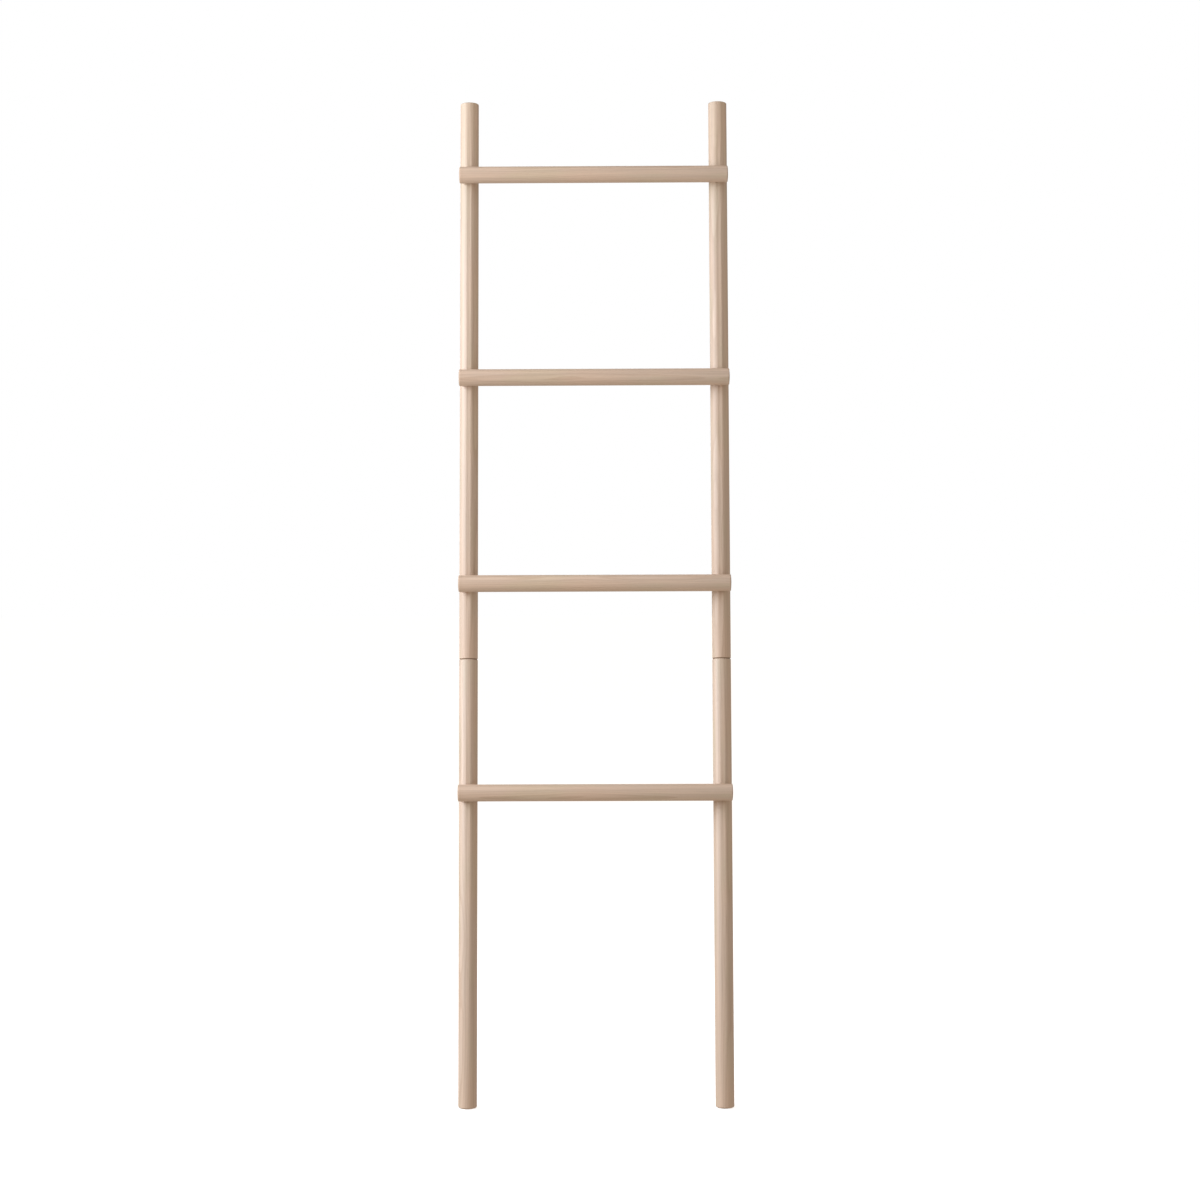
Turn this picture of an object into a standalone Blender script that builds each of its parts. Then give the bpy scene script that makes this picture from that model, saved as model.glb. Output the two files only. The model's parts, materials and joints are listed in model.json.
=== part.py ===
"""A two-section wooden ladder rack that leans against a wall, in metres, with +Z up.

It stands in its place of use: feet on the floor at z = 0, rungs towards -Y, wall towards +Y.
The ladder is drawn upright under one empty, which then leans it back.
"""

import math

import bmesh
import bpy

# Whole ladder
LEAN = math.radians(7)
RAIL_DIAMETER = 0.033
RAIL_LENGTH = 1.800
RAIL_SPACING = 0.450
RUNG_DIAMETER = 0.030
RUNG_LENGTH = 0.485
RUNG_FORWARD = 0.0245
RUNG_COUNT = 4
RUNG_PITCH = 0.371
TOP_RUNG_DROP = 0.138
SEAM_HEIGHT = 0.787
CLEARANCE = 0.0003

# Ends of the rails and rungs
SEAM_CHAMFER = 0.0008
FOOT_ROUNDING = 0.003
TOP_ROUNDING = 0.0015
RUNG_END_ROUNDING = 0.0025
RUNG_END_DOME = 0.0008
ROUNDING_STEPS = 2

# Splice dowels between the two sections
DOWEL_DIAMETER = 0.016
DOWEL_LENGTH = 0.120
DOWEL_CHAMFER = 0.0015

# Bolts from behind, each in a threaded insert in the rung
BOLT_DIAMETER = 0.006
BOLT_HEAD_DIAMETER = 0.0135
BOLT_HEAD_HEIGHT = 0.003
BOLT_KEY_WIDTH = 0.004
BOLT_KEY_DEPTH = 0.0018
COUNTERBORE_DEPTH = 0.005
INSERT_DIAMETER = 0.010
INSERT_LENGTH = 0.015
INSERT_SETBACK = 0.0015
BOLT_TIP_MARGIN = 0.0015
SMALL_CHAMFER = 0.0005

# Rubber pads under the feet and behind the rail tops
PAD_DIAMETER = 0.020
PAD_THICKNESS = 0.0025
PAD_PROUD = 0.001
BUMPER_DROP = 0.018
BUMPER_DIAMETER = 0.016
BUMPER_SEAT = 0.0125
BUMPER_CLEAR_OF_TOP = 0.0015
STEM_DIAMETER = 0.005
STEM_LENGTH = 0.014
RUBBER_ROUNDING = 0.001

RAIL_SEGMENTS = 32
RUNG_SEGMENTS = 32
SMALL_SEGMENTS = 12
PAST = 0.010

RAIL_RADIUS = RAIL_DIAMETER / 2
RUNG_RADIUS = RUNG_DIAMETER / 2
DOWEL_HALF = DOWEL_LENGTH / 2
HEAD_SEAT = RAIL_RADIUS - COUNTERBORE_DEPTH
INSERT_BACK = -RAIL_RADIUS - CLEARANCE - INSERT_SETBACK
INSERT_FRONT = INSERT_BACK - INSERT_LENGTH
WALL_FROM_BUMPER = BUMPER_DROP * math.sin(LEAN) + RAIL_RADIUS * math.cos(LEAN) + BUMPER_CLEAR_OF_TOP
WALL_FROM_FOOT = (RAIL_LENGTH - BUMPER_DROP) * math.sin(LEAN) + WALL_FROM_BUMPER
FOOT_FRONT = -RAIL_RADIUS / math.cos(LEAN)
FOOT_Y = -(WALL_FROM_FOOT + FOOT_FRONT) / 2

SIDES = {"left": -1, "right": 1}
TO_BACK = (-math.pi / 2, 0, 0)
TO_WALL = (-math.pi / 2 + LEAN, 0, 0)
TO_RIGHT = (0, math.pi / 2, 0)
TO_FLOOR = (LEAN, 0, 0)


def clear_scene():
    for obj in list(bpy.data.objects):
        bpy.data.objects.remove(obj)


def new_collection(name):
    collection = bpy.data.collections.new(name)
    bpy.context.scene.collection.children.link(collection)
    return collection


def empty(name, collection, parent=None):
    obj = bpy.data.objects.new(name, None)
    obj.empty_display_size = 0.05
    obj.parent = parent
    collection.objects.link(obj)
    return obj


def finish(name, colour, roughness, metallic=0.0):
    material = bpy.data.materials.new(name)
    material.use_nodes = True
    shader = material.node_tree.nodes["Principled BSDF"]
    shader.inputs["Base Color"].default_value = (*colour, 1.0)
    shader.inputs["Roughness"].default_value = roughness
    shader.inputs["Metallic"].default_value = metallic
    material.diffuse_color = (*colour, 1.0)
    return material


def turned_mesh(name, profile, segments):
    """Turns (radius, height) points about Z. Their outer side is listed from the top down."""
    mesh = bpy.data.meshes.new(name)
    bm = bmesh.new()
    points = [bm.verts.new((radius, 0, height)) for radius, height in profile]
    for upper, lower in zip(points, points[1:]):
        bm.edges.new((upper, lower))
    bm.to_mesh(mesh)
    bm.free()
    blank = bpy.data.objects.new(name, mesh)
    bpy.context.scene.collection.objects.link(blank)
    screw = blank.modifiers.new("Turn", "SCREW")
    screw.axis = "Z"
    screw.steps = screw.render_steps = segments
    screw.use_merge_vertices = True
    screw.merge_threshold = 0.00001
    solid = bpy.data.meshes.new_from_object(blank.evaluated_get(bpy.context.evaluated_depsgraph_get()))
    bpy.data.objects.remove(blank)
    bpy.data.meshes.remove(mesh)
    solid.name = name
    return solid


def place(name, mesh, collection, parent, location, rotation=(0, 0, 0), material=None):
    obj = bpy.data.objects.new(name, mesh)
    obj.location = location
    obj.rotation_euler = rotation
    obj.parent = parent
    collection.objects.link(obj)
    if material and not mesh.materials:
        mesh.materials.append(material)
        mesh.shade_smooth()
        mesh.set_sharp_from_angle(angle=math.radians(30))
    return obj


def cut(obj, cutter):
    cutter.hide_render = True
    cutter.display_type = "WIRE"
    boolean = obj.modifiers.new("Cut " + cutter.name, "BOOLEAN")
    boolean.operation = "DIFFERENCE"
    boolean.solver = "EXACT"
    boolean.object = cutter


def rounded_rim(radius, height, rounding):
    """The quarter circle from the end face to the side, for an upper rim."""
    steps = [i * math.pi / 2 / ROUNDING_STEPS for i in range(ROUNDING_STEPS + 1)]
    return [
        (radius - rounding * (1 - math.sin(a)), height - rounding * (1 - math.cos(a)))
        for a in steps
    ]


def upside_down(profile):
    return [(radius, -height) for radius, height in reversed(profile)]


def blind_bore(top, depth):
    """The splice bore in a rail's end, from its floor up to the rail's end face."""
    radius = DOWEL_DIAMETER / 2 + CLEARANCE
    return [(0, top - depth), (radius, top - depth), (radius, top)]


def chamfered_end(top):
    return [(RAIL_RADIUS - SEAM_CHAMFER, top), (RAIL_RADIUS, top - SEAM_CHAMFER)]


def lower_rail_mesh():
    """Its foot is cut level with the floor, and holds a shallow recess for the pad."""
    top = SEAM_HEIGHT - CLEARANCE / 2
    recess = PAD_DIAMETER / 2 + CLEARANCE
    foot = upside_down(rounded_rim(RAIL_RADIUS, -PAD_PROUD, FOOT_ROUNDING))
    recess_top = PAD_THICKNESS + CLEARANCE
    profile = blind_bore(top, DOWEL_HALF + CLEARANCE) + chamfered_end(top) + foot
    profile += [(recess, PAD_PROUD), (recess, recess_top), (0, recess_top)]
    mesh = turned_mesh("lower_rail", profile, RAIL_SEGMENTS)
    for vertex in mesh.vertices:
        if vertex.co.z < PAST:
            vertex.co.z += vertex.co.y * math.tan(LEAN)
    return mesh


def upper_rail_mesh():
    """Its origin is at the seam, as the lift-off joint's is."""
    length = RAIL_LENGTH - SEAM_HEIGHT
    bottom = CLEARANCE / 2
    seam_end = upside_down(blind_bore(-bottom, DOWEL_HALF + CLEARANCE) + chamfered_end(-bottom))
    profile = [(0, length)] + rounded_rim(RAIL_RADIUS, length, TOP_ROUNDING) + seam_end
    return turned_mesh("upper_rail", profile, RAIL_SEGMENTS)


def rung_mesh():
    """A round rod with slightly domed ends."""
    half = RUNG_LENGTH / 2
    end = [(0, half)] + rounded_rim(RUNG_RADIUS, half - RUNG_END_DOME, RUNG_END_ROUNDING)
    return turned_mesh("rung", end + upside_down(end), RUNG_SEGMENTS)


def dowel_mesh():
    radius = DOWEL_DIAMETER / 2
    end = [(0, DOWEL_HALF), (radius - DOWEL_CHAMFER, DOWEL_HALF), (radius, DOWEL_HALF - DOWEL_CHAMFER)]
    return turned_mesh("splice_dowel", end + upside_down(end), 2 * SMALL_SEGMENTS)


def bolt_mesh():
    """Its Z axis points out of the back of the rail, and its origin is on the rail's axis."""
    under = HEAD_SEAT + CLEARANCE
    over = under + BOLT_HEAD_HEIGHT
    head = BOLT_HEAD_DIAMETER / 2
    shank = BOLT_DIAMETER / 2
    tip = INSERT_FRONT + BOLT_TIP_MARGIN
    profile = [(0, over), (head - SMALL_CHAMFER, over), (head, over - SMALL_CHAMFER), (head, under)]
    profile += [(shank, under), (shank, tip + SMALL_CHAMFER), (shank - SMALL_CHAMFER, tip), (0, tip)]
    return turned_mesh("bolt", profile, SMALL_SEGMENTS)


def insert_mesh():
    outer = INSERT_DIAMETER / 2
    inner = BOLT_DIAMETER / 2 + CLEARANCE
    profile = [(inner, INSERT_FRONT), (inner, INSERT_BACK), (outer - SMALL_CHAMFER, INSERT_BACK)]
    profile += [(outer, INSERT_BACK - SMALL_CHAMFER), (outer, INSERT_FRONT), (inner, INSERT_FRONT)]
    return turned_mesh("insert", profile, SMALL_SEGMENTS)


def pad_mesh():
    top = [(0, PAD_THICKNESS), (PAD_DIAMETER / 2, PAD_THICKNESS)]
    rim = upside_down(rounded_rim(PAD_DIAMETER / 2, 0, PAD_PROUD / 2))
    return turned_mesh("foot_pad", top + rim + [(0, 0)], 2 * SMALL_SEGMENTS)


def bumper_mesh():
    """A round-headed push-in button. Its Z axis points at the wall."""
    seat = BUMPER_SEAT + CLEARANCE
    head = BUMPER_DIAMETER / 2
    stem = STEM_DIAMETER / 2
    end = seat - STEM_LENGTH
    profile = [(0, WALL_FROM_BUMPER)] + rounded_rim(head, WALL_FROM_BUMPER, RUBBER_ROUNDING)
    profile += [(head, seat), (stem, seat), (stem, end + RUBBER_ROUNDING), (stem - RUBBER_ROUNDING, end)]
    return turned_mesh("wall_bumper", profile + [(0, end)], 2 * SMALL_SEGMENTS)


def rod_mesh(name, radius, low, high, segments):
    return turned_mesh(name, [(0, high), (radius, high), (radius, low), (0, low)], segments)


def stepped_hole_mesh(name, wide, narrow, floor, low):
    """A cutter that is wide above its floor and narrow below it."""
    high = RAIL_RADIUS + PAST
    profile = [(0, high), (wide, high), (wide, floor), (narrow, floor), (narrow, low), (0, low)]
    return turned_mesh(name, profile, 2 * SMALL_SEGMENTS)


def hexagon_mesh(name, across, low, high):
    mesh = bpy.data.meshes.new(name)
    bm = bmesh.new()
    radius = across / math.sqrt(3)
    bmesh.ops.create_cone(
        bm, cap_ends=True, segments=6, radius1=radius, radius2=radius, depth=high - low
    )
    bmesh.ops.translate(bm, verts=bm.verts, vec=(0, 0, (high + low) / 2))
    bm.to_mesh(mesh)
    bm.free()
    return mesh


def make_rails(parts, cutters, sections, wood):
    """One lower and one upper rail a side, with their splice dowels."""
    rails = {}
    lower, upper, dowel = lower_rail_mesh(), upper_rail_mesh(), dowel_mesh()
    bumper_hole = stepped_hole_mesh(
        "bumper_hole",
        BUMPER_DIAMETER / 2 + CLEARANCE,
        STEM_DIAMETER / 2 + CLEARANCE,
        BUMPER_SEAT,
        BUMPER_SEAT - STEM_LENGTH - CLEARANCE,
    )
    for side, sign in SIDES.items():
        x = sign * RAIL_SPACING / 2
        rails["lower", side] = place(
            "lower_rail_" + side, lower.copy(), parts, sections["lower"], (x, 0, 0), material=wood
        )
        rails["upper", side] = place(
            "upper_rail_" + side, upper.copy(), parts, sections["upper"], (x, 0, 0), material=wood
        )
        place("splice_dowel_" + side, dowel, parts, sections["lower"], (x, 0, SEAM_HEIGHT), material=wood)
        height = RAIL_LENGTH - SEAM_HEIGHT - BUMPER_DROP
        cutter = place(
            "bumper_hole_" + side, bumper_hole, cutters, sections["upper"], (x, 0, height), TO_WALL
        )
        cut(rails["upper", side], cutter)
    return rails


def make_rungs(parts, cutters, sections, rails, wood, steel, brass):
    """Rungs counted from the floor up, each coped over both rails and bolted from behind."""
    rung, bolt, insert = rung_mesh(), bolt_mesh(), insert_mesh()
    rail_space = rod_mesh("rail_space", RAIL_RADIUS + CLEARANCE, -PAST * 3, PAST * 3, RAIL_SEGMENTS)
    bolt_hole = stepped_hole_mesh(
        "bolt_hole",
        BOLT_HEAD_DIAMETER / 2 + 2 * CLEARANCE,
        BOLT_DIAMETER / 2 + CLEARANCE,
        HEAD_SEAT,
        -RAIL_RADIUS - PAST,
    )
    insert_hole = rod_mesh(
        "insert_hole",
        INSERT_DIAMETER / 2 + CLEARANCE,
        INSERT_FRONT - CLEARANCE,
        0,
        SMALL_SEGMENTS * 2,
    )
    head_top = HEAD_SEAT + CLEARANCE + BOLT_HEAD_HEIGHT
    key = hexagon_mesh("key_socket", BOLT_KEY_WIDTH, head_top - BOLT_KEY_DEPTH, head_top + PAST)
    for number in range(1, RUNG_COUNT + 1):
        height = RAIL_LENGTH - TOP_RUNG_DROP - (RUNG_COUNT - number) * RUNG_PITCH
        section = "lower" if height < SEAM_HEIGHT else "upper"
        if section == "upper":
            height -= SEAM_HEIGHT
        parent = sections[section]
        middle = (0, -RUNG_FORWARD, height)
        rod = place(f"rung_{number}", rung.copy(), parts, parent, middle, TO_RIGHT, wood)
        for side, sign in SIDES.items():
            tag = f"{number}_{side}"
            spot = (sign * RAIL_SPACING / 2, 0, height)
            cut(rod, place("rail_space_" + tag, rail_space, cutters, parent, spot))
            cut(rod, place("insert_hole_" + tag, insert_hole, cutters, parent, spot, TO_BACK))
            cutter = place("bolt_hole_" + tag, bolt_hole, cutters, parent, spot, TO_BACK)
            cut(rails[section, side], cutter)
            screw = place("bolt_" + tag, bolt.copy(), parts, parent, spot, TO_BACK, steel)
            cut(screw, place("key_socket_" + tag, key, cutters, parent, spot, TO_BACK))
            place("insert_" + tag, insert, parts, parent, spot, TO_BACK, brass)


def make_rubber(parts, sections, rubber):
    """A pad under each foot and a bumper behind each rail top."""
    pad, bumper = pad_mesh(), bumper_mesh()
    for side, sign in SIDES.items():
        x = sign * RAIL_SPACING / 2
        place("foot_pad_" + side, pad, parts, sections["lower"], (x, 0, 0), TO_FLOOR, rubber)
        spot = (x, 0, RAIL_LENGTH - SEAM_HEIGHT - BUMPER_DROP)
        place("wall_bumper_" + side, bumper, parts, sections["upper"], spot, TO_WALL, rubber)


def main():
    clear_scene()
    parts = new_collection("ladder rack")
    cutters = new_collection("cutters")
    ladder = empty("ladder", parts)
    ladder.location = (0, FOOT_Y, 0)
    ladder.rotation_euler = (-LEAN, 0, 0)
    sections = {name: empty(name + "_section", parts, ladder) for name in ("lower", "upper")}
    sections["upper"].location = (0, 0, SEAM_HEIGHT)
    wood = finish("pale soaped wood", (0.66, 0.48, 0.35), 0.55)
    steel = finish("zinc-plated steel", (0.62, 0.62, 0.60), 0.35, 1.0)
    brass = finish("insert brass", (0.72, 0.55, 0.28), 0.40, 1.0)
    rubber = finish("grey rubber", (0.35, 0.35, 0.35), 0.80)
    rails = make_rails(parts, cutters, sections, wood)
    make_rungs(parts, cutters, sections, rails, wood, steel, brass)
    make_rubber(parts, sections, rubber)


main()
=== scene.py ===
import json
import math

import bmesh
import bpy
from mathutils import Euler, Matrix, Vector

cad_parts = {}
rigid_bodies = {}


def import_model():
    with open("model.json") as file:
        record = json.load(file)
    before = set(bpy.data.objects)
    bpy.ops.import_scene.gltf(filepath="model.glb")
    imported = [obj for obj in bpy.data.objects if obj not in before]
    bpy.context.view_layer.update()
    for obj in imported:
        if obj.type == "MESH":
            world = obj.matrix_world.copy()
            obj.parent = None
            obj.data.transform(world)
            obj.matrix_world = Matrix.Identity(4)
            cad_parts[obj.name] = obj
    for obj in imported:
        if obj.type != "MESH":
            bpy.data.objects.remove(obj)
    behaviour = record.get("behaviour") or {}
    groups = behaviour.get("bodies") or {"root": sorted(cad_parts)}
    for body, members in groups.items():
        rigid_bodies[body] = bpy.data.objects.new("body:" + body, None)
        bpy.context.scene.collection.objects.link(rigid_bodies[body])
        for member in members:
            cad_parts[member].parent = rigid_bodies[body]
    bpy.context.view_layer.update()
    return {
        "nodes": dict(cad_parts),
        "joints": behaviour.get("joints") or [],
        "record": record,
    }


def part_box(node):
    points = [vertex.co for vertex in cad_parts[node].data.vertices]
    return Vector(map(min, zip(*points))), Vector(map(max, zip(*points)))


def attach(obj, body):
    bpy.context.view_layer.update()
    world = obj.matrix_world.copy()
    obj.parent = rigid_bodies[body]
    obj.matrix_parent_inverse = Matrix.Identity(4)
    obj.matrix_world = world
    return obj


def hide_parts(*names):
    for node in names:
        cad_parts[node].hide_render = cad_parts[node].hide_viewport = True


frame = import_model()

lift = frame["joints"][0]  # the upper section pulls up along the rails
mounts = {m["name"]: m for m in frame["record"]["mounts"]}
upRail = Vector(lift["axis"]).normalized()
lean = math.atan2(upRail.y, upRail.z)
toBack = Vector((0, math.cos(lean), -math.sin(lean)))  # square to the rails, away from the rungs
across = Vector((1, 0, 0))
foot = Vector((0, mounts["foot_left"]["pos_m"][1], 0))
railX = mounts["foot_right"]["pos_m"][0]
sides = {"Left": -railX, "Right": railX}


def boxSize(node):
    low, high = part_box(node)
    return high - low


def boxMiddle(node):
    low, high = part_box(node)
    return (low + high) / 2


railRadius = boxSize("lower_rail_left").x / 2
rungRadius = boxSize("rung_1").z / 2
rungLength = boxSize("rung_1").x
railTop = (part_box("upper_rail_left")[1].z - railRadius * math.sin(lean)) / math.cos(lean)
seamAt = boxMiddle("splice_dowel_left").z / math.cos(lean)
rungCount = sum(name.startswith("rung_") for name in frame["nodes"])
rungAt = {n: (boxMiddle(f"rung_{n}") - foot).dot(upRail) for n in range(1, rungCount + 1)}
lowerBody, upperBody = lift["parent"], lift["child"]


def sectionOf(station):
    return lowerBody if station < seamAt else upperBody


# x, y, z of the place run across the rack, to its back and up the rail
def railPlace(x, station=0.0):
    spot = foot + upRail * station + across * x
    return Matrix.Translation(spot) @ Matrix((across, toBack, upRail)).transposed().to_4x4()


# z of the place runs along the rung, and y to the back of the rack
def rungPlace(number):
    spot = boxMiddle(f"rung_{number}")
    turn = Matrix((toBack.cross(across), toBack, across)).transposed().to_4x4()
    return Matrix.Translation(spot) @ turn


print("frame read: lean", round(math.degrees(lean), 2), "rungs", rungCount)


def meshObject(name, mesh):
    made = bpy.data.objects.new(name, mesh)
    bpy.context.scene.collection.objects.link(made)
    return made


# points on the short arc between two (radius, height) points about a centre
def roundTo(fromPoint, toPoint, centre, steps):
    a = math.atan2(fromPoint[1] - centre[1], fromPoint[0] - centre[0])
    b = math.atan2(toPoint[1] - centre[1], toPoint[0] - centre[0])
    reach = math.dist(fromPoint, centre)
    turn = (b - a + math.pi) % (2 * math.pi) - math.pi
    angles = [a + turn * i / steps for i in range(steps + 1)]
    return [(centre[0] + reach * math.cos(t), centre[1] + reach * math.sin(t)) for t in angles]


# a solid turned about Z from (radius, height) points
def turned(name, profile, segments):
    bm = bmesh.new()
    points = [bm.verts.new((radius, 0, height)) for radius, height in profile]
    edges = [bm.edges.new(pair) for pair in zip(points, points[1:])]
    bmesh.ops.spin(
        bm, geom=points + edges, cent=(0, 0, 0), axis=(0, 0, 1),
        angle=2 * math.pi, steps=segments, use_merge=True,
    )
    bmesh.ops.remove_doubles(bm, verts=bm.verts, dist=1e-6)
    bmesh.ops.recalc_face_normals(bm, faces=bm.faces)
    mesh = bpy.data.meshes.new(name)
    bm.to_mesh(mesh)
    bm.free()
    return mesh


# the object's evaluated shape as a plain mesh, and the object gone
def plainMesh(obj, name):
    graph = bpy.context.evaluated_depsgraph_get()
    mesh = bpy.data.meshes.new_from_object(obj.evaluated_get(graph))
    mesh.name = name
    bpy.data.objects.remove(obj)
    return mesh


# cuts each (mesh, place) out of the mesh, and softens the new edges
def cutAway(mesh, cutters, edgeRounding=0.0):
    body = meshObject(mesh.name, mesh)
    helpers = []
    for cutter, place in cutters:
        helper = meshObject("cutter", cutter)
        helper.matrix_world = place
        helpers.append(helper)
        boolean = body.modifiers.new("cut", "BOOLEAN")
        boolean.operation = "DIFFERENCE"
        boolean.solver = "EXACT"
        boolean.object = helper
    if edgeRounding:
        soften = body.modifiers.new("soften", "BEVEL")
        soften.width = edgeRounding
        soften.segments = 2
        soften.limit_method = "ANGLE"
        soften.angle_limit = math.radians(40)
        soften.use_clamp_overlap = True
    bpy.context.view_layer.update()
    made = plainMesh(body, mesh.name)
    for helper in helpers:
        bpy.data.objects.remove(helper)
    return made


# bakes the place into the mesh, and hangs the finished piece on its body
def settle(name, mesh, place, material, body, slot, *nodes):
    mesh.transform(place)
    mesh.materials.clear()
    mesh.materials.append(material)
    mesh.shade_smooth()
    mesh.set_sharp_from_angle(angle=math.radians(38))
    piece = meshObject(name, mesh)
    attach(piece, body)
    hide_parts(*nodes)
    return piece


def addNode(tree, kind, inputs=None, **settings):
    made = tree.nodes.new(kind)
    for key, value in settings.items():
        setattr(made, key, value)
    for key, value in (inputs or {}).items():
        if isinstance(value, bpy.types.NodeSocket):
            tree.links.new(value, made.inputs[key])
        else:
            made.inputs[key].default_value = value
    return made


def calc(tree, operation, a, b=0.0, clamp=False):
    made = addNode(tree, "ShaderNodeMath", {0: a, 1: b}, operation=operation, use_clamp=clamp)
    return made.outputs[0]


def vectorCalc(tree, operation, *values):
    made = addNode(tree, "ShaderNodeVectorMath", dict(enumerate(values)), operation=operation)
    return made.outputs["Value" if operation in ("LENGTH", "DOT_PRODUCT") else "Vector"]


def rampTo(tree, value, low, high, start=0.0, end=1.0):
    made = addNode(
        tree, "ShaderNodeMapRange",
        {"Value": value, "From Min": low, "From Max": high, "To Min": start, "To Max": end},
        interpolation_type="SMOOTHSTEP",
    )
    return made.outputs["Result"]


# the offset only keeps one noise from lining up with another
def stretched(tree, vector, scale, offset=(0.0, 0.0, 0.0)):
    return addNode(
        tree, "ShaderNodeMapping", {"Vector": vector, "Scale": scale, "Location": offset}
    ).outputs["Vector"]


def noise(tree, vector, detail=2.0, roughness=0.5):
    made = addNode(
        tree, "ShaderNodeTexNoise",
        {"Vector": vector, "Scale": 1.0, "Detail": detail, "Roughness": roughness},
    )
    return made.outputs["Fac"]


def mixColour(tree, share, a, b, blend="MIX"):
    made = addNode(tree, "ShaderNodeMix", data_type="RGBA", blend_type=blend)
    for index, value in ((0, share), (6, a), (7, b)):
        if isinstance(value, bpy.types.NodeSocket):
            tree.links.new(value, made.inputs[index])
        else:
            made.inputs[index].default_value = value
    return made.outputs[2]


def newMaterial(name):
    material = bpy.data.materials.new(name)
    material.use_nodes = True
    return material, material.node_tree, material.node_tree.nodes["Principled BSDF"]


woodLook = {
    "early": (0.655, 0.504, 0.388, 1.0),  # pale, slightly pink body of each year's growth
    "late": (0.528, 0.380, 0.272, 1.0),  # the thin darker line that ends it
    "pore": (0.420, 0.280, 0.190, 1.0),
    "endGrain": (0.430, 0.300, 0.205, 1.0),
    "ringWidth": 0.0030,
    "ringContrast": 0.55,
    "lateRise": (0.25, 0.93),  # shares of the year over which the late wood comes in
    "lateFall": (0.94, 1.0),  # and stops
    "faintestYear": 0.45,
    "driftScale": (16.0, 16.0, 4.5),
    "driftReach": (0.016, 0.016, 0.0),
    "waverScale": (60.0, 60.0, 3.0),
    "fibreScale": (1100.0, 1100.0, 14.0),
    "fibreContrast": 0.10,
    "bandScale": (150.0, 150.0, 2.2),
    "bandContrast": 0.20,
    "patchScale": (30.0, 30.0, 5.0),
    "patchContrast": 0.16,
    "warmTint": (0.93, 0.80, 0.70, 1.0),  # slow patches of a warmer wood
    "warmRange": (0.35, 0.7),
    "warmShare": 0.35,
    "drabTint": (0.96, 1.00, 0.96, 1.0),  # and of a greyer one
    "drabRange": (0.42, 0.68),
    "drabScale": (45.0, 45.0, 9.0),
    "dashScale": (1500.0, 1500.0, 170.0),
    "dashFade": (0.12, 0.26),  # over this part of a cell
    "dashByYear": (0.35, 0.9),  # from early to late in the year
    "poreShare": 0.42,
    "fleckScale": (620.0, 2100.0, 210.0),
    "fleckFade": (0.10, 0.24),
    "fleckDepth": 0.45,
    "fleckShare": 0.35,
    "endFacing": (0.35, 0.8),  # how squarely a face must look along the grain to show its end
    "endShare": 0.75,
    "specular": 0.6,
    "roughness": 0.52,  # of the long grain, near the middle of its spread
    "fibreRoughness": 0.16,
    "endRoughness": 0.2,
    "fibreHeight": 0.5,
    "poreHeight": 0.8,
    "lateHeight": 0.25,
    "bumpStrength": 0.6,
    "bumpDepth": 0.00012,
}


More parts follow.
